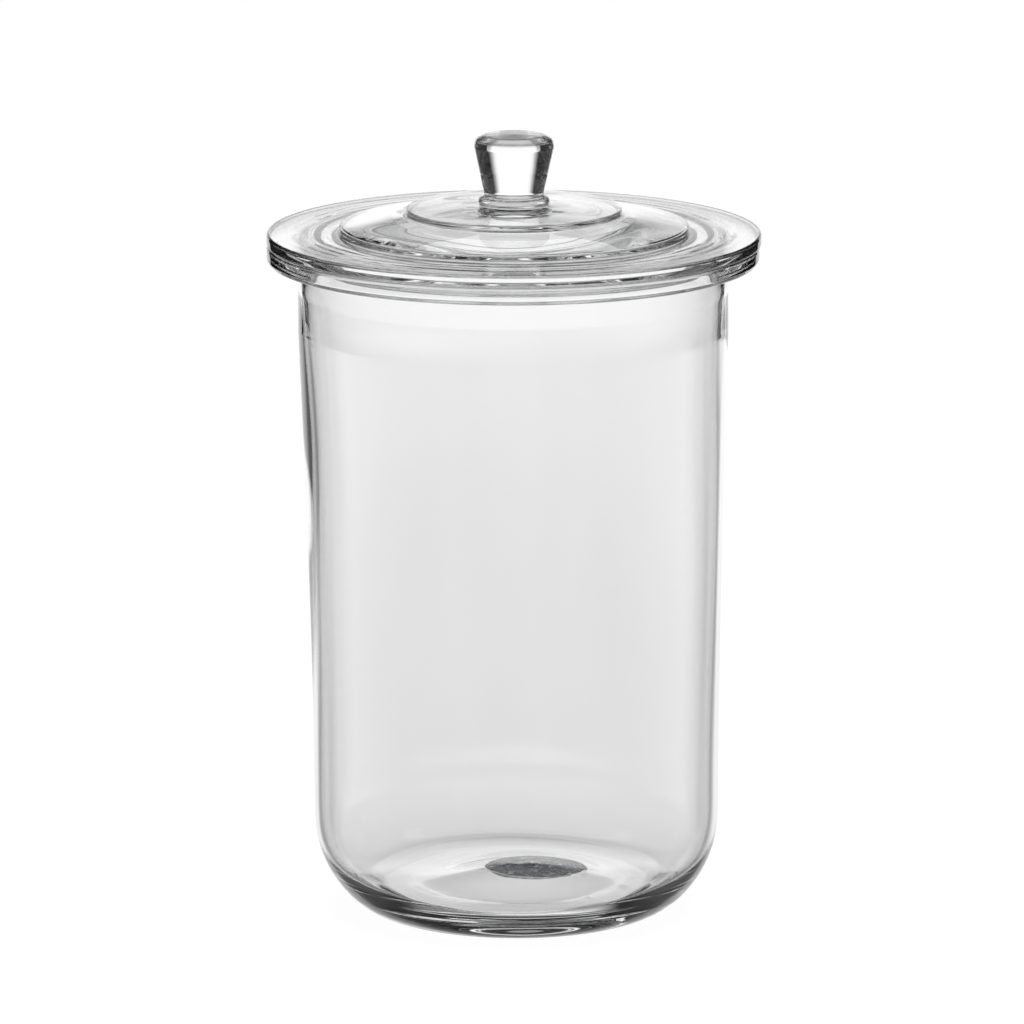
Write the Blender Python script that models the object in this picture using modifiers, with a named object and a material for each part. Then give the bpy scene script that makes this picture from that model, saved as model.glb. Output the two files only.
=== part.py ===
"""Lidded glass canister.

A tall blown-glass storage canister.  The vessel has a thick base with a
pushed-up centre, a softly rounded bottom corner, a wall that opens slightly
towards the top and a flat flared rim.  A stepped glass lid rests on the rim
and is located by a ring on its underside.  A solid glass knob stands on a
small glass collar in the middle of the lid.

Units are metres, +Z is up, and the origin is at the middle of the foot, on
the surface that the canister stands on.
"""

import math

import bpy

# ---------------------------------------------------------------------------
# Driving dimensions
# ---------------------------------------------------------------------------
GAP = 0.0003                # clearance kept between pieces that touch

# vessel, outside
FOOT_OUTER_R = 0.0525       # outer edge of the flat foot ring
FOOT_INNER_R = 0.0470       # inner edge of the flat foot ring
CORNER_H = 0.0380           # height of the rounded bottom corner
CORNER_POWER = 1.85         # roundness of that corner; 2 is an ellipse
BODY_LOW_R = 0.0824         # body radius just above the bottom corner
BODY_TOP_R = 0.0871         # body radius below the rim
BODY_TOP_Z = 0.2400         # height where the body reaches its top radius
BODY_SWEEP = 1.6            # how late the wall opens towards the top
NECK_R = 0.0868             # body radius right under the rim
KICK_UNDER_Z = 0.0050       # height of the pushed-up centre, underside

# vessel, inside
WALL = 0.0040               # wall thickness
FLOOR_Z = 0.0120            # inside floor height around its edge
FLOOR_CENTRE_Z = 0.0186     # inside floor height in the middle
FLOOR_R = 0.0590            # radius where the floor turns up
FLOOR_CORNER_H = 0.0250     # height of the inside corner
MOUTH_R = 0.0820            # radius of the mouth

# vessel, rim
RIM_R = 0.0996              # outer radius of the rim flange
RIM_TOP_Z = 0.2753          # top face of the rim
RIM_BOTTOM_Z = 0.2684       # underside of the rim
RIM_EDGE_TOP_R = 0.0013     # rounding of the rim's upper edge
RIM_EDGE_LOW_R = 0.0024     # rounding of the rim's lower edge
RIM_FILLET = 0.0034         # fillet from the body to the rim's underside
MOUTH_EDGE_R = 0.0016       # rounding of the mouth's upper edge

# ground mark on the underside of the base
PONTIL_R = 0.0190           # radius of the ground dish
PONTIL_OFFSET_X = 0.0085    # the dish lies off the vessel's axis
PONTIL_OFFSET_Y = 0.0100
PONTIL_DEPTH = 0.0014       # depth of the dish
PONTIL_SPHERE_R = 0.1300    # radius of the sphere that grinds the dish

# lid
LID_R = 0.1000              # outer radius of the lid
LID_BOTTOM_Z = RIM_TOP_Z + GAP
LID_RIM_Z = 0.2805          # top face at the lid's outer edge
LID_EDGE_R = 0.0012         # rounding of the lid's edge
STEP_1_R = 0.0708           # first step up: radius
STEP_1_Z = 0.2809           # first step: foot height
STEP_1_H = 0.0024           # first step: rise
STEP_2_R = 0.0436           # second step up: radius
STEP_2_Z = 0.2884           # second step: foot height
STEP_2_H = 0.0021           # second step: rise
STEP_RUN = 0.0011           # width of each step's rounded nose
PAD_R = 0.0160              # flat pad that carries the collar
PAD_Z = 0.2922              # height of the pad
RING_OUTER_R = 0.0795       # locating ring under the lid, outside
RING_INNER_R = 0.0725       # locating ring under the lid, inside
RING_BOTTOM_Z = 0.2690      # lowest face of the locating ring
RING_EDGE_R = 0.0012        # rounding of the ring's edges
UNDER_EDGE_Z = 0.2770       # underside height just inside the ring
UNDER_STEP_R = 0.0450       # step in the underside
UNDER_STEP_Z = 0.2812       # underside height at that step
UNDER_STEP_H = 0.0018       # rise of that step
UNDER_CENTRE_Z = 0.2842     # underside height in the middle

# collar and knob
COLLAR_R = 0.0145           # radius of the glass collar
COLLAR_H = 0.0022           # height of the collar
COLLAR_EDGE_R = 0.0009      # rounding of the collar's edge
KNOB_NECK_R = 0.0121        # knob radius where it meets the collar
KNOB_R = 0.0162             # knob radius at its widest
KNOB_WIDE_Z = 0.3170        # height of the widest place
KNOB_TOP_Z = 0.3204         # top of the knob
KNOB_TOP_FLAT_R = 0.0130    # flat part of the knob's top

SEGMENTS = 64               # sides of the vessel and the lid
SMALL_SEGMENTS = 32         # sides of the collar and the knob

# joint: the lid lifts straight up off the rim
LID_LIFT_AXIS_Z = LID_BOTTOM_Z


# ---------------------------------------------------------------------------
# Helpers
# ---------------------------------------------------------------------------
def clear_scene():
    for obj in list(bpy.data.objects):
        bpy.data.objects.remove(obj, do_unlink=True)
    for coll in list(bpy.data.collections):
        bpy.data.collections.remove(coll)


def new_collection(name):
    coll = bpy.data.collections.new(name)
    bpy.context.scene.collection.children.link(coll)
    return coll


def principled(name, color, roughness, metallic=0.0, transmission=0.0,
               ior=1.5):
    mat = bpy.data.materials.new(name)
    mat.use_nodes = True
    bsdf = mat.node_tree.nodes["Principled BSDF"]
    bsdf.inputs["Base Color"].default_value = (*color, 1.0)
    bsdf.inputs["Roughness"].default_value = roughness
    bsdf.inputs["Metallic"].default_value = metallic
    bsdf.inputs["Transmission Weight"].default_value = transmission
    bsdf.inputs["IOR"].default_value = ior
    mat.diffuse_color = (*color, 1.0)
    return mat


def arc(cx, cz, rx, rz, start_deg, end_deg, count, ends=True):
    """Points along an elliptical arc; degrees run from +X towards +Z."""
    points = []
    first = 0 if ends else 1
    last = count if ends else count - 1
    for i in range(first, last + 1):
        angle = math.radians(start_deg + (end_deg - start_deg) * i / count)
        points.append((cx + rx * math.cos(angle), cz + rz * math.sin(angle)))
    return points


def turned(name, profile, segments, collection, material, parent=None):
    """Turn an (x, z) profile about the Z axis with a Screw modifier."""
    base_z = parent.location.z if parent is not None else 0.0
    mesh = bpy.data.meshes.new(name)
    verts = [(x, 0.0, z - base_z) for x, z in profile]
    edges = [(i, i + 1) for i in range(len(verts) - 1)]
    mesh.from_pydata(verts, edges, [])
    mesh.update()
    mesh.materials.append(material)
    obj = bpy.data.objects.new(name, mesh)
    collection.objects.link(obj)
    if parent is not None:
        obj.parent = parent
    screw = obj.modifiers.new("Turn", 'SCREW')
    screw.axis = 'Z'
    screw.angle = math.tau
    screw.steps = segments
    screw.render_steps = segments
    screw.use_merge_vertices = True
    screw.merge_threshold = 0.00005
    screw.use_smooth_shade = True
    return obj


# ---------------------------------------------------------------------------
# Shape rules
# ---------------------------------------------------------------------------
def body_radius(z):
    """Outer radius of the vessel's wall at height z."""
    t = max(0.0, (z - CORNER_H) / (BODY_TOP_Z - CORNER_H))
    if t <= 1.0:
        return BODY_LOW_R + (BODY_TOP_R - BODY_LOW_R) * t ** BODY_SWEEP
    neck_z = RIM_BOTTOM_Z - RIM_FILLET
    u = min(1.0, (z - BODY_TOP_Z) / (neck_z - BODY_TOP_Z))
    return BODY_TOP_R + (NECK_R - BODY_TOP_R) * u * u


def bell(r, width):
    """1 in the middle, falling smoothly to 0 at r = width."""
    if r >= width:
        return 0.0
    return 0.5 * (1.0 + math.cos(math.pi * r / width))


def vessel_profile():
    points = []
    # inside floor, from the axis outwards
    for i in range(5):
        r = FLOOR_R * i / 5
        points.append((r, FLOOR_Z + (FLOOR_CENTRE_Z - FLOOR_Z)
                       * bell(r, FLOOR_R)))
    # inside corner
    inner_low_z = FLOOR_Z + FLOOR_CORNER_H
    inner_low_r = body_radius(inner_low_z) - WALL
    points += arc(FLOOR_R, inner_low_z, inner_low_r - FLOOR_R,
                  FLOOR_CORNER_H, -90.0, 0.0, 6)
    # inside wall, upwards to the mouth
    mouth_z = RIM_TOP_Z - MOUTH_EDGE_R
    wall_top_z = 0.2560
    for i in range(1, 6):
        z = inner_low_z + (wall_top_z - inner_low_z) * i / 5
        points.append((body_radius(z) - WALL, z))
    points.append((MOUTH_R, RIM_BOTTOM_Z - 0.001))
    points += arc(MOUTH_R + MOUTH_EDGE_R, mouth_z, MOUTH_EDGE_R,
                  MOUTH_EDGE_R, 180.0, 90.0, 2)
    # rim, round its edge
    points += arc(RIM_R - RIM_EDGE_TOP_R, RIM_TOP_Z - RIM_EDGE_TOP_R,
                  RIM_EDGE_TOP_R, RIM_EDGE_TOP_R, 90.0, 0.0, 2)
    points += arc(RIM_R - RIM_EDGE_LOW_R, RIM_BOTTOM_Z + RIM_EDGE_LOW_R,
                  RIM_EDGE_LOW_R, RIM_EDGE_LOW_R, 0.0, -90.0, 2)
    # fillet from the rim's underside into the body
    points += arc(NECK_R + RIM_FILLET, RIM_BOTTOM_Z - RIM_FILLET,
                  RIM_FILLET, RIM_FILLET, 90.0, 180.0, 3)
    # outer wall, downwards
    for i in range(1, 6):
        neck_z = RIM_BOTTOM_Z - RIM_FILLET
        z = neck_z + (CORNER_H - neck_z) * i / 6
        points.append((body_radius(z), z))
    # bottom corner down to the foot ring
    for i in range(9):
        angle = math.radians(90.0 * i / 8)
        across = max(0.0, math.cos(angle)) ** (2.0 / CORNER_POWER)
        down = math.sin(angle) ** (2.0 / CORNER_POWER)
        points.append((FOOT_OUTER_R + (BODY_LOW_R - FOOT_OUTER_R) * across,
                       CORNER_H * (1.0 - down)))
    # underside: foot ring, then the pushed-up centre
    for i in range(4):
        r = FOOT_INNER_R * (4 - i) / 4
        points.append((r, KICK_UNDER_Z * bell(r, FOOT_INNER_R)))
    points.append((0.0, KICK_UNDER_Z))
    return points


def lid_profile():
    points = [(0.0, PAD_Z), (PAD_R * 0.5, PAD_Z), (PAD_R, PAD_Z)]
    # upper tier, a very shallow cone, and its step
    top_2 = STEP_2_Z + STEP_2_H
    points.append((0.5 * (PAD_R + STEP_2_R), 0.5 * (PAD_Z + top_2) + 0.0002))
    points += arc(STEP_2_R - STEP_RUN, top_2 - STEP_2_H * 0.5, STEP_RUN,
                  STEP_2_H * 0.5, 90.0, 0.0, 2)
    points.append((STEP_2_R + 0.0003, STEP_2_Z))
    # middle tier and its step
    top_1 = STEP_1_Z + STEP_1_H
    mid_r = 0.5 * (STEP_1_R + STEP_2_R)
    points.append((mid_r, 0.5 * (STEP_2_Z + top_1) + 0.0002))
    points += arc(STEP_1_R - STEP_RUN, top_1 - STEP_1_H * 0.5, STEP_RUN,
                  STEP_1_H * 0.5, 90.0, 0.0, 2)
    points.append((STEP_1_R + 0.0003, STEP_1_Z))
    # flat outer tier and the lid's edge
    points.append((0.5 * (STEP_1_R + LID_R), LID_RIM_Z + 0.0001))
    points += arc(LID_R - LID_EDGE_R, LID_RIM_Z - LID_EDGE_R, LID_EDGE_R,
                  LID_EDGE_R, 90.0, 0.0, 2)
    points += arc(LID_R - LID_EDGE_R, LID_BOTTOM_Z + LID_EDGE_R,
                  LID_EDGE_R, LID_EDGE_R, 0.0, -90.0, 2)
    # seat on the rim, then the locating ring
    points.append((RING_OUTER_R + 0.0006, LID_BOTTOM_Z))
    points += arc(RING_OUTER_R - RING_EDGE_R, RING_BOTTOM_Z + RING_EDGE_R,
                  RING_EDGE_R, RING_EDGE_R, 0.0, -90.0, 2)
    points += arc(RING_INNER_R + RING_EDGE_R, RING_BOTTOM_Z + RING_EDGE_R,
                  RING_EDGE_R, RING_EDGE_R, -90.0, -180.0, 2)
    points.append((RING_INNER_R - 0.0008, UNDER_EDGE_Z))
    # underside, rising to the middle with one step
    points.append((UNDER_STEP_R, UNDER_STEP_Z))
    points.append((UNDER_STEP_R - 0.0010, UNDER_STEP_Z + UNDER_STEP_H))
    points.append((UNDER_STEP_R * 0.5, UNDER_CENTRE_Z - 0.0004))
    points.append((0.0, UNDER_CENTRE_Z))
    return points


def collar_profile():
    bottom = PAD_Z + GAP
    top = bottom + COLLAR_H
    points = [(0.0, top), (KNOB_NECK_R * 0.6, top)]
    points += arc(COLLAR_R - COLLAR_EDGE_R, top - COLLAR_EDGE_R,
                  COLLAR_EDGE_R, COLLAR_EDGE_R, 90.0, 0.0, 2)
    points += arc(COLLAR_R - COLLAR_EDGE_R, bottom + COLLAR_EDGE_R,
                  COLLAR_EDGE_R, COLLAR_EDGE_R, 0.0, -90.0, 2)
    points += [(KNOB_NECK_R * 0.6, bottom), (0.0, bottom)]
    return points


def knob_profile():
    bottom = PAD_Z + GAP + COLLAR_H + GAP
    points = [(0.0, KNOB_TOP_Z), (KNOB_TOP_FLAT_R * 0.5, KNOB_TOP_Z)]
    points += arc(KNOB_TOP_FLAT_R, KNOB_WIDE_Z, KNOB_R - KNOB_TOP_FLAT_R,
                  KNOB_TOP_Z - KNOB_WIDE_Z, 90.0, 0.0, 6)
    # the side tapers down to the neck and is a little hollow there
    count = 5
    for i in range(1, count + 1):
        t = i / count
        z = KNOB_WIDE_Z + (bottom - KNOB_WIDE_Z) * t
        ease = 1.0 - t + 0.05 * math.sin(math.pi * t)
        points.append((KNOB_NECK_R + (KNOB_R - KNOB_NECK_R) * ease, z))
    points += [(KNOB_NECK_R * 0.5, bottom), (0.0, bottom)]
    return points


# ---------------------------------------------------------------------------
# Build
# ---------------------------------------------------------------------------
clear_scene()
parts = new_collection("lidded_glass_canister")
cutters = new_collection("cutters")

glass_vessel = principled("glass_vessel", (0.955, 0.975, 0.970), 0.02,
                          transmission=1.0)
glass_lid = principled("glass_lid", (0.950, 0.972, 0.970), 0.02,
                       transmission=1.0)
glass_collar = principled("glass_collar", (0.940, 0.965, 0.965), 0.03,
                          transmission=1.0)
glass_knob = principled("glass_knob", (0.960, 0.978, 0.975), 0.015,
                        transmission=1.0)

# vessel
jar = turned("jar_body", vessel_profile(), SEGMENTS, parts, glass_vessel)

# the sphere that grinds the dish into the underside of the base
bpy.ops.mesh.primitive_uv_sphere_add(
    segments=40, ring_count=72, radius=PONTIL_SPHERE_R,
    location=(PONTIL_OFFSET_X, PONTIL_OFFSET_Y,
              KICK_UNDER_Z - 0.0020 + PONTIL_DEPTH - PONTIL_SPHERE_R))
dish = bpy.context.active_object
dish.name = "pontil_cutter"
for coll in list(dish.users_collection):
    coll.objects.unlink(dish)
cutters.objects.link(dish)
dish.hide_render = True
dish.display_type = 'WIRE'
# only a slab around the dish is kept, so that the foot stays whole
bpy.ops.mesh.primitive_cylinder_add(
    vertices=40, radius=PONTIL_R, depth=0.012,
    location=(PONTIL_OFFSET_X, PONTIL_OFFSET_Y, 0.0060))
slab = bpy.context.active_object
slab.name = "pontil_slab"
for coll in list(slab.users_collection):
    coll.objects.unlink(slab)
cutters.objects.link(slab)
slab.hide_render = True
slab.display_type = 'WIRE'
keep = slab.modifiers.new("Keep", 'BOOLEAN')
keep.operation = 'INTERSECT'
keep.solver = 'EXACT'
keep.object = dish
grind = jar.modifiers.new("Grind", 'BOOLEAN')
grind.operation = 'DIFFERENCE'
grind.solver = 'EXACT'
grind.object = slab

# lid assembly: everything that lifts hangs on one empty on the lift axis
lid_lift = bpy.data.objects.new("lid_lift_axis", None)
lid_lift.empty_display_size = 0.02
lid_lift.location = (0.0, 0.0, LID_LIFT_AXIS_Z)
parts.objects.link(lid_lift)

turned("lid_plate", lid_profile(), SEGMENTS, parts, glass_lid, lid_lift)
turned("knob_collar", collar_profile(), SMALL_SEGMENTS, parts, glass_collar,
       lid_lift)
turned("knob", knob_profile(), SMALL_SEGMENTS, parts, glass_knob, lid_lift)
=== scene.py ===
import math

import bpy
import numpy as np
from mathutils import Matrix, Vector


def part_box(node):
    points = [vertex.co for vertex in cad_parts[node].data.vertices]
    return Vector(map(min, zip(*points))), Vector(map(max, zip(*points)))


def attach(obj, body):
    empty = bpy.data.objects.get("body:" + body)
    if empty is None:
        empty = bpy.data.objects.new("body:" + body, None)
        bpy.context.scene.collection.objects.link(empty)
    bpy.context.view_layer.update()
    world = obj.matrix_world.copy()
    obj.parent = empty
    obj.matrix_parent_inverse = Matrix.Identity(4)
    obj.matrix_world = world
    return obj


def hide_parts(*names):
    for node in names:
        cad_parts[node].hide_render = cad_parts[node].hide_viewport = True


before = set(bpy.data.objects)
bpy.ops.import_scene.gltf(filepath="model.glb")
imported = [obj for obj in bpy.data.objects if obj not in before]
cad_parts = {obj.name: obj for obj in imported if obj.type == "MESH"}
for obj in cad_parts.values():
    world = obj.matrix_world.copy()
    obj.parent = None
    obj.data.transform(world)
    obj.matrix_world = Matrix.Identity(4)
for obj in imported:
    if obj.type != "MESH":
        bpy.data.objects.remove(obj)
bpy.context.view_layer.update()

MM = 0.001
TAU = 2.0 * math.pi

# ---------------------------------------------------------------------------
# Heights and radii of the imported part, read from its nodes
# ---------------------------------------------------------------------------
jar_lo, jar_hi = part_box("jar_body")
lid_lo, lid_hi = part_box("lid_plate")
col_lo, col_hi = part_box("knob_collar")
knob_lo, knob_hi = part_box("knob")

RIM_TOP = jar_hi[2]                      # top face of the vessel's rim
RIM_R = jar_hi[0]                        # radius of the rim
LID_R = lid_hi[0]                        # radius of the lid
PAD_Z = lid_hi[2]                        # pad under the collar
KNOB_TOP = knob_hi[2]
KNOB_R = knob_hi[0]
SEAT_Z = RIM_TOP + 0.0003                # underside of the lid's flange


def smooth(t):
    t = np.clip(t, 0.0, 1.0)
    return t * t * (3.0 - 2.0 * t)


# ---------------------------------------------------------------------------
# Turned meshes with the small irregularities of hot-worked glass
# ---------------------------------------------------------------------------
def rounded(corners, step):
    """A polyline through (r, z, fillet) corners, with true arcs at the corners, no segment longer than step."""
    pts = []
    n = len(corners)
    for i, (r, z, f) in enumerate(corners):
        p = np.array((r, z))
        if f <= 0.0 or i in (0, n - 1):
            pts.append(p)
            continue
        a = np.array(corners[i - 1][:2]) - p
        b = np.array(corners[i + 1][:2]) - p
        la, lb = np.linalg.norm(a), np.linalg.norm(b)
        a, b = a / la, b / lb
        half = 0.5 * math.acos(max(-1.0, min(1.0, float(a @ b))))
        cut = min(f / math.tan(half), 0.49 * la, 0.49 * lb)
        rad = cut * math.tan(half)
        centre = p + (a + b) / np.linalg.norm(a + b) * (rad / math.sin(half))
        s, e = p + a * cut, p + b * cut
        a0 = math.atan2(*(s - centre)[::-1])
        a1 = math.atan2(*(e - centre)[::-1])
        while a1 - a0 > math.pi:
            a1 -= TAU
        while a1 - a0 < -math.pi:
            a1 += TAU
        k = max(4, int(abs(a1 - a0) / math.radians(9.0)))
        for j in range(k + 1):
            t = a0 + (a1 - a0) * j / k
            pts.append(centre + rad * np.array((math.cos(t), math.sin(t))))
    out = [pts[0]]
    for a, b in zip(pts[:-1], pts[1:]):
        d = np.linalg.norm(b - a)
        if d < 1e-6:
            continue
        k = max(1, int(math.ceil(d / step)))
        out += [a + (b - a) * j / k for j in range(1, k + 1)]
    return np.array(out)


def lathe(name, prof, segs, warp):
    """Turn an (r, z) profile that starts and ends on the axis. warp(theta, r, z, s) returns offsets dr, dz, dx."""
    prof = np.asarray(prof)
    prof[0, 0] = prof[-1, 0] = 0.0
    theta = np.arange(segs) * TAU / segs
    arc_len = np.concatenate([[0.0], np.cumsum(np.hypot(*np.diff(prof, axis=0).T))])
    r = prof[:, 0][:, None] + 0.0 * theta
    z = prof[:, 1][:, None] + 0.0 * theta
    th = theta[None, :] + 0.0 * r
    s = arc_len[:, None] + 0.0 * theta
    dr, dz, dx = warp(th, r, z, s)
    near = np.clip(r / 0.004, 0.0, 1.0)          # nothing moves on the axis itself
    rr = np.maximum(r + dr * near, 0.0)
    zz = z + dz * np.where(r > 1e-9, 1.0, 0.0) * near + (dz * (1 - near)).mean(axis=1, keepdims=True)
    x = rr * np.cos(th) + dx
    y = rr * np.sin(th)
    n = len(prof)
    verts = [(float(dx[0, 0]), 0.0, float(zz[0].mean()))]
    for i in range(1, n - 1):
        verts += list(zip(x[i].tolist(), y[i].tolist(), zz[i].tolist()))
    verts.append((float(dx[-1, 0]), 0.0, float(zz[-1].mean())))
    last = len(verts) - 1
    faces = []
    for j in range(segs):
        faces.append((0, 1 + j, 1 + (j + 1) % segs))
    for i in range(n - 3):
        a, b = 1 + i * segs, 1 + (i + 1) * segs
        for j in range(segs):
            k = (j + 1) % segs
            faces.append((a + j, b + j, b + k, a + k))
    a = 1 + (n - 3) * segs
    for j in range(segs):
        faces.append((a + j, last, a + (j + 1) % segs))
    mesh = bpy.data.meshes.new(name)
    mesh.from_pydata(verts, [], faces)
    mesh.update()
    mesh.shade_smooth()
    obj = bpy.data.objects.new(name, mesh)
    bpy.context.scene.collection.objects.link(obj)
    return obj


# --- the vessel --------------------------------------------------------------
CORNER_H, CORNER_P, FOOT_R, FOOT_IN = 0.0380, 1.85, 0.0525, 0.0470
BODY_LOW, BODY_TOP, BODY_TOP_Z, NECK = 0.0824, 0.0871, 0.2400, 0.0868
RIM_LOW = RIM_TOP - 0.0069
FILLET = 0.0034
FLOOR_R, FLOOR_Z, FLOOR_MID, FLOOR_H = 0.0600, 0.0120, 0.0168, 0.0254
KICK, KICK_W = 0.0050, 0.0440            # the pushed-up underside: height and reach
PUSH_UP = (0.0030, 0.0060)               # centre of the push-up below, a little off the axis
PUSH = (0.0026, -0.0030)                 # and of the swelling it leaves in the floor
WALL = 0.0037
MOUTH = 0.0820
PONTIL = (0.0085, 0.0122, 0.0190, 0.80)           # the ground mark's centre and radius


def body_r(z):
    t = np.clip((z - CORNER_H) / (BODY_TOP_Z - CORNER_H), 0.0, None)
    u = np.clip((z - BODY_TOP_Z) / (RIM_LOW - FILLET - BODY_TOP_Z), 0.0, 1.0)
    return np.where(t <= 1.0, BODY_LOW + (BODY_TOP - BODY_LOW) * np.minimum(t, 1.0) ** 1.6,
                    BODY_TOP + (NECK - BODY_TOP) * u * u)


def bell(r, w):
    return np.where(r < w, 0.5 * (1.0 + np.cos(math.pi * np.minimum(r, w) / w)), 0.0)


def relax(curve, reach, lo, hi):
    """Round off sudden changes of curvature: a weighted mean along the curve, strongest between heights lo and hi."""
    s = np.concatenate([[0.0], np.cumsum(np.hypot(*np.diff(curve, axis=0).T))])
    even = np.linspace(0.0, s[-1], int(s[-1] / 0.0008))
    c = np.stack([np.interp(even, s, curve[:, 0]), np.interp(even, s, curve[:, 1])], 1)
    k = np.arange(-60, 61) * (even[1] - even[0])
    w = np.exp(-0.5 * (k / reach) ** 2)
    w /= w.sum()
    pad = np.concatenate([2 * c[:1] - c[60:0:-1], c, 2 * c[-1:] - c[-2:-62:-1]])
    soft = np.stack([np.convolve(pad[:, i], w, "valid") for i in (0, 1)], 1)
    m = (smooth((c[:, 1] - lo) / 0.008) * smooth((hi - c[:, 1]) / 0.012))[:, None]
    return c + (soft - c) * m


def vessel_profile():
    parts = []
    r = np.linspace(0.0, FLOOR_R, 70)[:-1]
    parts.append(np.stack([r, FLOOR_Z + 0.0 * r], 1))
    z1 = FLOOR_Z + FLOOR_H
    r1 = float(body_r(np.array(z1))) - WALL
    a = np.linspace(0.0, math.pi / 2, 34)[:-1]
    low = np.stack([FLOOR_R + (r1 - FLOOR_R) * np.sin(a), z1 - FLOOR_H * np.cos(a)], 1)
    z = np.linspace(z1, 0.2560, 72)
    side = np.stack([body_r(z) - WALL, z], 1)
    parts.append(relax(np.concatenate([low, side]), 0.0055, 0.010, 0.090))
    z2 = RIM_LOW - 0.001
    t = np.linspace(0.0, 1.0, 10)[1:]
    ra = float(body_r(np.array(0.2560))) - WALL
    parts.append(np.stack([ra + (MOUTH - ra) * smooth(t), 0.2560 + (z2 - 0.2560) * t], 1))
    rim = rounded([(MOUTH, z2 + 0.0004, 0.0), (MOUTH, RIM_TOP, 0.0016), (RIM_R, RIM_TOP, 0.0013),
                   (RIM_R, RIM_LOW, 0.0024), (NECK, RIM_LOW, FILLET), (NECK, RIM_LOW - FILLET - 0.0004, 0.0)], 0.0012)
    parts.append(rim)
    z = np.linspace(RIM_LOW - FILLET - 0.0006, CORNER_H, 90)
    side = np.stack([body_r(z), z], 1)
    a = np.linspace(0.0, math.pi / 2, 60)[1:]
    low = np.stack([FOOT_R + (BODY_LOW - FOOT_R) * np.cos(a).clip(0) ** (2 / CORNER_P),
                    CORNER_H * (1.0 - np.sin(a) ** (2 / CORNER_P))], 1)
    parts.append(relax(np.concatenate([side, low]), 0.0042, 0.004, 0.100))
    r = np.linspace(FOOT_R, FOOT_IN, 6)[1:]
    parts.append(np.stack([r, 0.0 * r], 1))
    r = np.linspace(FOOT_IN, 0.0, 84)[1:]
    parts.append(np.stack([r, 0.0 * r], 1))
    return np.concatenate(parts)


def waves(th, v, terms):
    """A sum of slow waves round the axis (whole turns) and along v, with fixed phases."""
    out = 0.0
    for turns, along, phase, amp in terms:
        out = out + amp * np.sin(turns * th + along * v + phase)
    return out


prof_jar = vessel_profile()
n_in = int(np.argmax(prof_jar[:, 1]))    # points before the rim's top face lie inside
n_floor = int(np.argmax(prof_jar[:, 0] > FLOOR_R - 1e-6))


def warp_jar(th, r, z, s):
    idx = np.arange(r.shape[0])[:, None] + 0 * th
    inside = idx < n_in
    wall = smooth((z - 0.012) / 0.03) * smooth((0.262 - z) / 0.02)
    # the inside of the wall: thickness that drifts round the axis and along it
    inner = waves(th, z, [(1, 9.0, 0.6, 0.30), (2, -14.0, 2.1, 0.22), (3, 21.0, 4.0, 0.13), (5, -34.0, 1.0, 0.07), (2, 55.0, 0.4, 0.06)])
    outer = waves(th, z, [(2, 8.0, 1.2, 0.05), (3, -13.0, 3.3, 0.03), (1, 30.0, 5.0, 0.04)])
    dr = np.where(inside, inner, outer) * wall * MM
    # inside floor and corner: slow unevenness
    low = smooth((0.034 - z) / 0.02) * inside
    lean = (1.00 - 1.38 * smooth((z - 0.02) / 0.27)) * MM          # the foot is off to one side
    x = r * np.cos(th) + lean
    y = r * np.sin(th)
    push = np.hypot(x - PUSH[0], y - PUSH[1])
    push_up = np.hypot(x - PUSH_UP[0], y - PUSH_UP[1])
    floor_top = inside & (idx < n_floor)
    dz = low * 1.2 * MM * np.minimum(r / FLOOR_R, 1.0) * np.sin(th) + low * waves(th, r * 1.0, [(1, 40.0, 0.8, 0.16), (2, -70.0, 2.2, 0.10), (3, 110.0, 0.2, 0.06)]) * MM
    dz = dz + np.where(floor_top, (FLOOR_MID - FLOOR_Z) * bell(push, 0.0520), 0.0)
    # under the base: the push-up with its ground mark
    under = (idx > len(prof_jar) - 92) & (r < FOOT_IN)
    d = np.hypot(x - PONTIL[0], (y - PONTIL[1]) / PONTIL[3]) / PONTIL[2]
    ground = smooth((1.04 - d) / 0.08)
    dz = dz + np.where(under, KICK * bell(push_up, KICK_W) * (1.0 - ground) + (0.0030 + 0.0006 * (1.0 - d * d)) * ground, 0.0)
    return dr, dz, lean


jar = lathe("jar_glass", prof_jar, 288, warp_jar)
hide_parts("jar_body")
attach(jar, "jar")

# --- lid, collar and knob: one fused piece of glass --------------------------
T2_R, T2_Z, T2_H = 0.0436, 0.2884, 0.0021
T1_R, T1_Z, T1_H = 0.0708, 0.2809, 0.0024
LID_RIM = 0.2805
RING_OUT, RING_IN, RING_LOW = 0.0795, 0.0725, 0.2690
U_EDGE, U_STEP_R, U_STEP_Z, U_STEP_H, U_MID = 0.2770, 0.0450, 0.2812, 0.0018, 0.2842
NECK_R = 0.0121
COLLAR_R = 0.0145


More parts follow.
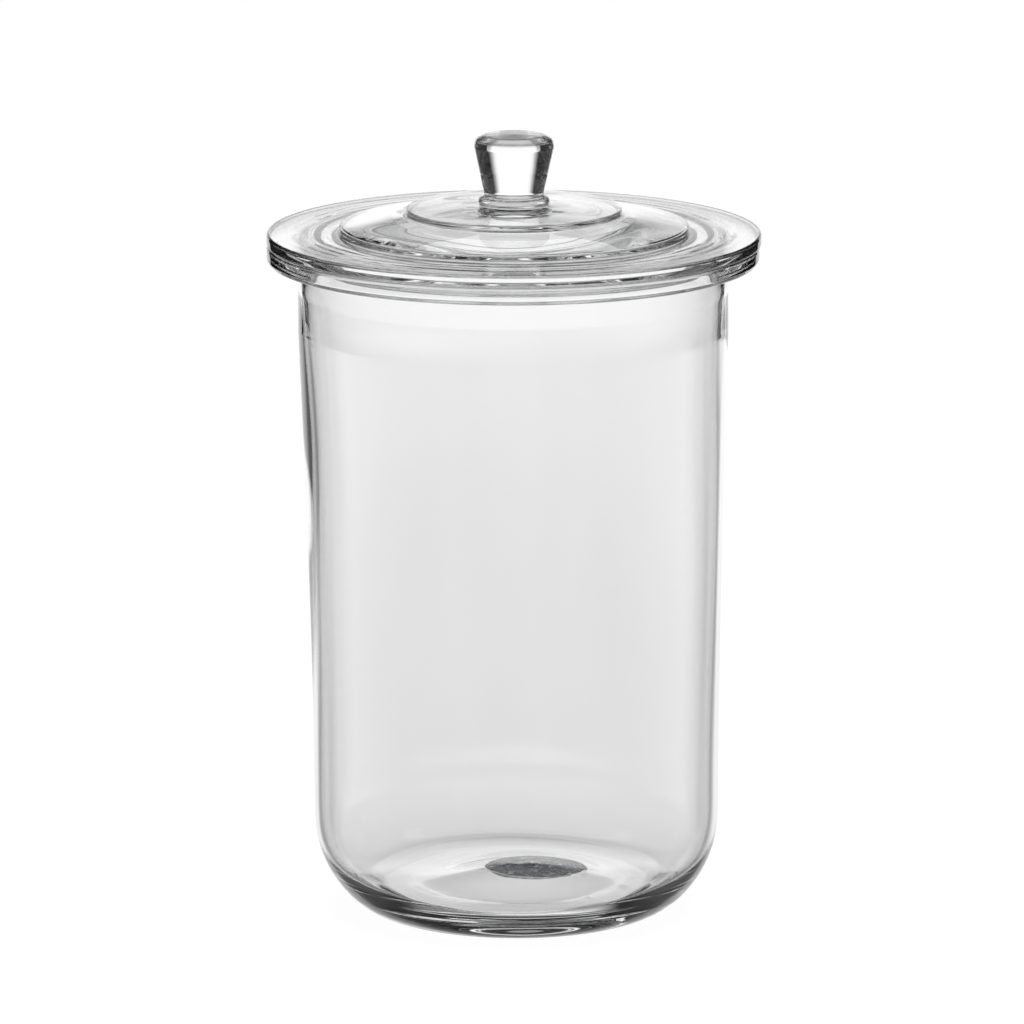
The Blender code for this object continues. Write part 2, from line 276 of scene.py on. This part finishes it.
def lid_profile():
    parts = []
    # crown of the knob: nearly flat top, a bevelled shoulder, then the long taper to the neck
    parts.append(rounded([(0.0, KNOB_TOP, 0.0), (0.0124, KNOB_TOP - 0.00030, 0.0038), (0.0157, 0.3184, 0.0030),
                          (KNOB_R, 0.3156, 0.0014), (0.0141, 0.3060, 0.0300), (NECK_R, 0.2972, 0.0)], 0.0004))
    # flared foot of the knob and the collar
    parts.append(rounded([(NECK_R, 0.2970, 0.0), (NECK_R - 0.0001, 0.2955, 0.0020), (COLLAR_R - 0.0004, 0.2946, 0.0008),
                          (COLLAR_R, 0.2932, 0.0006), (COLLAR_R - 0.0008, PAD_Z - 0.0003, 0.0003), (0.0150, PAD_Z - 0.0002, 0.0)], 0.0004))
    # upper tier with a faint raised ring, then the step
    r = np.linspace(0.0153, T2_R - 0.0012, 64)
    z0, z1 = PAD_Z - 0.0002, T2_Z + T2_H
    zz = z0 + (z1 - z0) * ((r - r[0]) / (r[-1] - r[0]))
    parts.append(np.stack([r, zz], 1))
    parts.append(rounded([(T2_R - 0.0011, z1, 0.0), (T2_R, z1 - 0.0001, 0.0005), (T2_R + 0.0001, T2_Z, 0.0004), (T2_R + 0.0018, T2_Z - 0.0003, 0.0)], 0.0004))
    # middle tier and its step
    za, zb = T2_Z - 0.0003, T1_Z + T1_H
    r = np.linspace(T2_R + 0.0024, T1_R - 0.0014, 34)
    t = (r - r[0]) / (r[-1] - r[0])
    parts.append(np.stack([r, za + (zb - za) * t + 0.00015 * np.sin(math.pi * t)], 1))
    parts.append(rounded([(T1_R - 0.0012, zb - 0.0001, 0.0), (T1_R, zb - 0.0003, 0.0005), (T1_R + 0.0001, T1_Z, 0.0004), (T1_R + 0.0022, T1_Z - 0.00005, 0.0)], 0.0004))
    # outer tier, edge and seat
    parts.append(rounded([(T1_R + 0.0030, T1_Z - 0.0001, 0.0), (LID_R, LID_RIM, 0.0012), (LID_R, SEAT_Z, 0.0012),
                          (RING_OUT + 0.0004, SEAT_Z, 0.0008), (RING_OUT, RING_LOW, 0.0016), (RING_IN, RING_LOW, 0.0016),
                          (RING_IN - 0.0008, U_EDGE, 0.0022), (U_STEP_R + 0.0030, U_STEP_Z, 0.0060), (U_STEP_R - 0.0040, U_STEP_Z + U_STEP_H, 0.0060),
                          (U_STEP_R * 0.5, U_MID - 0.0004, 0.0100), (0.0, U_MID, 0.0)], 0.0009))
    return np.concatenate(parts)


prof_lid = lid_profile()
n_top = int(np.argmax(prof_lid[:, 0]))   # points before the rim's edge are the top side


def warp_lid(th, r, z, s):
    idx = np.arange(r.shape[0])[:, None] + 0 * th
    top = idx <= n_top
    on_tiers = top & (z < 0.2925)
    below = (~top) & (r < 0.0795)
    edge = smooth((0.0985 - r) / 0.01)
    dz = np.where(on_tiers, edge * waves(th, r, [(2, 60.0, 0.3, 0.07), (3, -95.0, 1.9, 0.05), (5, 160.0, 4.0, 0.03)]), 0.0)
    dz = dz + np.where(below, waves(th, r, [(1, 120.0, 0.3, 0.10), (2, -110.0, 1.4, 0.05)]), 0.0)
    # faint tooling rings on the outer tier, fading out towards the step and the edge
    ring = smooth((r - 0.0735) / 0.004) * smooth((0.0960 - r) / 0.006)
    dz = dz + np.where(on_tiers, 0.045 * ring * np.sin((r - 0.0735) / 0.0046 * 2.0 * math.pi + 0.5 * np.sin(th + 0.8)), 0.0)
    dr = np.where(on_tiers, waves(th, r, [(2, 0.0, 1.0, 0.06), (3, 0.0, 2.0, 0.04)]) * edge, 0.0)
    knob = top & (z > 0.2960)
    dr = dr + np.where(knob, waves(th, z, [(2, 90.0, 0.4, 0.07), (3, -140.0, 2.0, 0.05)]), 0.0)
    return dr * MM, dz * MM, 0.0 * r


lid = lathe("lid_glass", prof_lid, 288, warp_lid)
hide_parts("lid_plate", "knob_collar", "knob")
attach(lid, "lid")


# ---------------------------------------------------------------------------
# Materials
# ---------------------------------------------------------------------------
class Nodes:
    """A short way to write node trees."""

    def __init__(self, tree):
        self.tree = tree
        self.tree.nodes.clear()

    def new(self, kind, **values):
        node = self.tree.nodes.new(kind)
        for key, value in values.items():
            setattr(node, key, value)
        return node

    def link(self, a, b):
        self.tree.links.new(a, b)

    def math(self, op, a, b=None, c=None):
        node = self.new("ShaderNodeMath", operation=op)
        for i, v in enumerate((a, b, c)):
            if v is None:
                continue
            if isinstance(v, (int, float)):
                node.inputs[i].default_value = v
            else:
                self.link(v, node.inputs[i])
        return node.outputs[0]

    def ramp(self, x, stops, mode="LINEAR"):
        node = self.new("ShaderNodeValToRGB")
        ramp = node.color_ramp
        ramp.interpolation = mode
        while len(ramp.elements) > 1:
            ramp.elements.remove(ramp.elements[-1])
        for i, (pos, col) in enumerate(stops):
            e = ramp.elements[0] if i == 0 else ramp.elements.new(pos)
            e.position = pos
            e.color = (*col, 1.0) if isinstance(col, tuple) else (col, col, col, 1.0)
        self.link(x, node.inputs[0])
        return node.outputs[0]


def glass(name, tint, ior, wave, wave_scale, frost=None):
    mat = bpy.data.materials.new(name)
    mat.use_nodes = True
    n = Nodes(mat.node_tree)
    out = n.new("ShaderNodeOutputMaterial")
    bsdf = n.new("ShaderNodeBsdfPrincipled")
    n.link(bsdf.outputs[0], out.inputs[0])
    bsdf.inputs["IOR"].default_value = ior
    bsdf.inputs["Transmission Weight"].default_value = 1.0
    bsdf.inputs["Metallic"].default_value = 0.0
    tc = n.new("ShaderNodeTexCoord")
    # slow streaks of slightly different tint, drawn out along the height
    stretch = n.new("ShaderNodeMapping")
    stretch.inputs["Scale"].default_value = (1.0, 1.0, 0.22)
    n.link(tc.outputs["Object"], stretch.inputs[0])
    cords = n.new("ShaderNodeTexNoise")
    cords.inputs["Scale"].default_value = 34.0
    cords.inputs["Detail"].default_value = 3.0
    n.link(stretch.outputs[0], cords.inputs["Vector"])
    colour = n.ramp(cords.outputs["Fac"], [(0.30, tuple(c * 0.985 for c in tint)), (0.70, tint)])
    n.link(colour, bsdf.inputs["Base Color"])
    # faint waviness of a hot-worked surface
    noise = n.new("ShaderNodeTexNoise")
    noise.inputs["Scale"].default_value = wave_scale
    noise.inputs["Detail"].default_value = 2.0
    noise.inputs["Roughness"].default_value = 0.45
    n.link(stretch.outputs[0], noise.inputs["Vector"])
    bump = n.new("ShaderNodeBump")
    bump.inputs["Strength"].default_value = 1.0
    bump.inputs["Distance"].default_value = wave
    n.link(noise.outputs["Fac"], bump.inputs["Height"])
    if frost is None:
        smudge = n.new("ShaderNodeTexNoise")
        smudge.inputs["Scale"].default_value = 60.0
        n.link(tc.outputs["Object"], smudge.inputs["Vector"])
        rough = n.ramp(smudge.outputs["Fac"], [(0.45, 0.0), (0.80, 0.018)])
        n.link(rough, bsdf.inputs["Roughness"])
        n.link(bump.outputs[0], bsdf.inputs["Normal"])
    else:
        # ground, frosted dish under the base: a disc around (x, y), below a height. Its grit bump and roughness are the
        # real frosting; its dark colour and white flecks are painted shade and painted glints.
        cx, cy, rad, flat, top = frost
        sep = n.new("ShaderNodeSeparateXYZ")
        n.link(tc.outputs["Object"], sep.inputs[0])
        dx = n.math("SUBTRACT", sep.outputs[0], cx)
        dy = n.math("DIVIDE", n.math("SUBTRACT", sep.outputs[1], cy), flat)
        d2 = n.math("ADD", n.math("MULTIPLY", dx, dx), n.math("MULTIPLY", dy, dy))
        d = n.math("SQRT", d2)
        disc = n.math("LESS_THAN", d, rad)
        low = n.math("LESS_THAN", sep.outputs[2], top)
        mask = n.math("MULTIPLY", disc, low)
        grit = n.new("ShaderNodeTexVoronoi")
        grit.inputs["Scale"].default_value = 900.0
        n.link(tc.outputs["Object"], grit.inputs["Vector"])
        grit_bump = n.new("ShaderNodeBump")
        grit_bump.inputs["Distance"].default_value = 0.0006
        n.link(mask, grit_bump.inputs["Strength"])
        n.link(grit.outputs["Distance"], grit_bump.inputs["Height"])
        n.link(bump.outputs[0], grit_bump.inputs["Normal"])
        n.link(grit_bump.outputs[0], bsdf.inputs["Normal"])
        n.link(n.math("MULTIPLY", mask, 0.22), bsdf.inputs["Roughness"])
        # painted shade and painted glints on the frosted disc: dark slate where etched glass would look whitish, with
        # white cells as painted sparkle highlights; transmission is cut below so this colour shows
        glint_cells = n.new("ShaderNodeTexVoronoi")
        glint_cells.inputs["Scale"].default_value = 520.0
        n.link(tc.outputs["Object"], glint_cells.inputs["Vector"])
        painted_shade_and_glints = n.ramp(glint_cells.outputs["Color"], [(0.30, (0.035, 0.040, 0.075)), (0.66, (0.13, 0.15, 0.24)), (0.84, (0.97, 0.97, 0.99))])
        mix = n.new("ShaderNodeMix", data_type="RGBA")
        n.link(mask, mix.inputs[0])
        n.link(colour, mix.inputs[6])
        n.link(painted_shade_and_glints, mix.inputs[7])
        n.link(mix.outputs[2], bsdf.inputs["Base Color"])
        n.link(n.math("MULTIPLY_ADD", mask, -0.72, 1.0), bsdf.inputs["Transmission Weight"])
    return mat


jar_mat = glass("blown_glass_vessel", (0.990, 0.993, 0.990), 1.50, 0.00010, 18.0,
                frost=(PONTIL[0], PONTIL[1], PONTIL[2] * 0.99, PONTIL[3], 0.0065))
lid_mat = glass("blown_glass_lid", (0.988, 0.993, 0.991), 1.50, 0.00004, 18.0)
jar.data.materials.append(jar_mat)
lid.data.materials.append(lid_mat)

# ---------------------------------------------------------------------------
# Camera, tent of light and floor
# ---------------------------------------------------------------------------
ELEV = math.radians(12.0)
DIST = 3.6
AIM = Vector((-0.0008, 0.0, 0.1647))
cam_data = bpy.data.cameras.new("camera")
cam = bpy.data.objects.new("camera", cam_data)
bpy.context.scene.collection.objects.link(cam)
cam.location = AIM + DIST * Vector((0.0, -math.cos(ELEV), math.sin(ELEV)))
cam.rotation_euler = (math.pi / 2 - ELEV, 0.0, 0.0)
cam_data.sensor_width = 36.0
cam_data.lens = 36.0 * 8854.0 / 1024.0
cam_data.clip_end = 100.0
bpy.context.scene.camera = cam
bpy.context.view_layer.update()


def tent():
    """A big sphere of soft light round the object: a bright backdrop opposite the camera, dark flags beside it."""
    rings, segs, radius = 32, 64, 20.0
    verts, faces = [(0, 0, -radius)], []
    for i in range(1, rings):
        e = -math.pi / 2 + math.pi * i / rings
        verts += [(radius * math.cos(e) * math.cos(TAU * j / segs), radius * math.cos(e) * math.sin(TAU * j / segs), radius * math.sin(e)) for j in range(segs)]
    verts.append((0, 0, radius))
    for j in range(segs):
        k = (j + 1) % segs
        faces.append((0, 1 + k, 1 + j))
        for i in range(rings - 2):
            a, b = 1 + i * segs, 1 + (i + 1) * segs
            faces.append((a + j, a + k, b + k, b + j))
        a = 1 + (rings - 2) * segs
        faces.append((a + j, a + k, len(verts) - 1))
    mesh = bpy.data.meshes.new("light_tent")
    mesh.from_pydata(verts, [], faces)
    mesh.shade_smooth()
    obj = bpy.data.objects.new("light_tent", mesh)
    bpy.context.scene.collection.objects.link(obj)
    mat = bpy.data.materials.new("light_tent")
    mat.use_nodes = True
    n = Nodes(mat.node_tree)
    out = n.new("ShaderNodeOutputMaterial")
    emit = n.new("ShaderNodeEmission")
    n.link(emit.outputs[0], out.inputs[0])
    tc = n.new("ShaderNodeTexCoord")
    norm = n.new("ShaderNodeVectorMath", operation="NORMALIZE")
    n.link(tc.outputs["Object"], norm.inputs[0])
    sep = n.new("ShaderNodeSeparateXYZ")
    n.link(norm.outputs[0], sep.inputs[0])
    az = n.math("MULTIPLY", n.math("ARCTAN2", sep.outputs[0], sep.outputs[1]), 180.0 / math.pi)
    el = n.math("MULTIPLY", n.math("ARCSINE", sep.outputs[2]), 180.0 / math.pi)
    side = n.math("MULTIPLY", n.math("ABSOLUTE", az), 1.0 / 180.0)
    rise = n.math("MULTIPLY_ADD", el, 1.0 / 180.0, 0.5)

    def at(e):
        return (e + 90.0) / 180.0

    # lit backdrop, lower towards its sides, dark beside it
    bow = n.math("MULTIPLY", n.math("MULTIPLY", az, az), 9.0 / 625.0 / 180.0)
    arch = n.math("ADD", rise, n.math("MINIMUM", bow, 0.2))
    level = n.ramp(rise, [(at(-60), 0.08), (at(-50), 0.25), (at(-41), 0.57), (at(-28), 0.71), (at(-13.9), 0.79), (at(-12.2), 0.83),
                          (at(-11.2), 0.87), (at(-10.2), 0.89), (at(-9.4), 1.0)])
    top = n.ramp(arch, [(at(8.0), 1.0), (at(11.0), 0.85), (at(14), 0.36), (at(18), 0.03), (at(60), 0.0)])
    flags = n.ramp(side, [(23.0 / 180, 1.0), (28.0 / 180, 0.40), (38.0 / 180, 0.38), (60.0 / 180, 1.0)])
    near = n.ramp(side, [(26.0 / 180, 1.0), (36.0 / 180, 0.02)])
    low = n.ramp(rise, [(at(-9), 1.0), (at(-3), 0.0)])
    spread = n.math("ADD", n.math("MULTIPLY", flags, low), n.math("MULTIPLY", near, n.math("SUBTRACT", 1.0, low)))
    window = n.math("MULTIPLY", n.math("MULTIPLY", n.math("MULTIPLY", spread, level), top), 1.12)
    # and a weak light behind the camera
    back = n.math("MULTIPLY", n.ramp(side, [(105.0 / 180, 0.0), (135.0 / 180, 0.30)]),
                  n.ramp(rise, [(at(-6), 0.0), (at(2), 1.0), (at(26), 1.0), (at(34), 0.0)]))
    # low light on both sides of the object
    wings = n.math("MULTIPLY", n.math("MULTIPLY", n.ramp(side, [(46.0 / 180, 0.0), (62.0 / 180, 1.0), (84.0 / 180, 0.55), (104.0 / 180, 0.22), (128.0 / 180, 0.0)]),
                                      n.ramp(rise, [(at(-34), 0.0), (at(-22), 1.0), (at(-9), 1.0), (at(-3), 0.0)])), 0.76)
    total = n.math("MAXIMUM", n.math("MAXIMUM", window, wings), n.math("MAXIMUM", back, 0.015))
    n.link(total, emit.inputs["Strength"])
    mesh.materials.append(mat)
    obj.visible_camera = False
    obj.visible_shadow = False
    obj.location = (0.0, 0.0, 0.16)
    return obj


light_tent = tent()
bpy.context.view_layer.update()
light_tent.parent = cam
light_tent.matrix_parent_inverse = cam.matrix_world.inverted()



def stage_piece(name, verts, faces, material, hang_on=None):
    """Something the glass sees and the camera does not."""
    mesh = bpy.data.meshes.new(name)
    mesh.from_pydata(verts, [], faces)
    mesh.materials.append(material)
    obj = bpy.data.objects.new(name, mesh)
    bpy.context.scene.collection.objects.link(obj)
    obj.visible_camera = False
    obj.visible_shadow = False
    if hang_on is not None:
        bpy.context.view_layer.update()
        obj.parent = hang_on
        obj.matrix_parent_inverse = hang_on.matrix_world.inverted()
    return obj


def glow(name, strength):
    mat = bpy.data.materials.new(name)
    mat.use_nodes = True
    n = Nodes(mat.node_tree)
    out = n.new("ShaderNodeOutputMaterial")
    emit = n.new("ShaderNodeEmission")
    emit.inputs["Strength"].default_value = strength
    n.link(emit.outputs[0], out.inputs[0])
    return mat


def cards():
    """Black cards held up beside the lid and a white one high over the backdrop."""
    black, bright = glow("black_card", 0.02), glow("high_card", 1.05)
    for name, a0, a1, d, foot, top, mat in (("card_left", -31.0, -135.0, 0.60, 0.13, 0.44, black), ("card_right", 31.0, 135.0, 0.60, 0.13, 0.44, black),
                                            ("card_high", -62.0, 62.0, 0.50, 0.60, 0.77, bright)):
        steps = [math.radians(a0 + (a1 - a0) * i / 8) for i in range(9)]
        verts = [(d * math.sin(a), d * math.cos(a), h) for a in steps for h in (foot, top)]
        stage_piece(name, verts, [(2 * i, 2 * i + 2, 2 * i + 3, 2 * i + 1) for i in range(8)], mat, cam)


cards()

# soft key from above, for the floor
key_data = bpy.data.lights.new("soft_key", "AREA")
key_data.shape = "DISK"
key_data.size = 3.0
key_data.energy = 60.0
key = bpy.data.objects.new("soft_key", key_data)
bpy.context.scene.collection.objects.link(key)
key.location = (0.3, -0.4, 3.2)
key.visible_camera = False
key.visible_transmission = False
key.visible_glossy = False


def floor():
    mesh = bpy.data.meshes.new("floor")
    s = 30.0
    mesh.from_pydata([(-s, -s, 0), (s, -s, 0), (s, s, 0), (-s, s, 0)], [], [(0, 1, 2, 3)])
    obj = bpy.data.objects.new("floor", mesh)
    bpy.context.scene.collection.objects.link(obj)
    obj.location = (0, 0, -0.0004)
    mat = bpy.data.materials.new("pale_floor")
    mat.use_nodes = True
    n = Nodes(mat.node_tree)
    out = n.new("ShaderNodeOutputMaterial")
    add = n.new("ShaderNodeAddShader")
    emit = n.new("ShaderNodeEmission")
    emit.inputs["Strength"].default_value = 0.96
    diff = n.new("ShaderNodeBsdfDiffuse")
    diff.inputs["Color"].default_value = (0.16, 0.16, 0.16, 1.0)
    n.link(emit.outputs[0], add.inputs[0])
    n.link(diff.outputs[0], add.inputs[1])
    n.link(add.outputs[0], out.inputs[0])
    mesh.materials.append(mat)
    obj.visible_glossy = False
    obj.visible_transmission = False
    obj.visible_diffuse = False
    obj.visible_shadow = False
    return obj


floor()

# white surround for what the camera sees past the floor's edge
world = bpy.data.worlds.new("studio")
bpy.context.scene.world = world
world.use_nodes = True
wn = Nodes(world.node_tree)
wout = wn.new("ShaderNodeOutputWorld")
wbg = wn.new("ShaderNodeBackground")
wn.link(wbg.outputs[0], wout.inputs[0])
path = wn.new("ShaderNodeLightPath")
wn.link(wn.math("MULTIPLY", path.outputs["Is Camera Ray"], 1.06), wbg.inputs["Strength"])

scene = bpy.context.scene
scene.view_settings.view_transform = "Standard"
scene.view_settings.look = "None"
scene.view_settings.exposure = 0.0
scene.view_settings.gamma = 1.0
scene.cycles.max_bounces = 28
scene.cycles.transmission_bounces = 28
scene.cycles.glossy_bounces = 16
scene.cycles.diffuse_bounces = 2
scene.cycles.transparent_max_bounces = 16
scene.cycles.caustics_reflective = True
scene.cycles.caustics_refractive = True
scene.cycles.blur_glossy = 0.0
scene.cycles.sample_clamp_indirect = 6.0
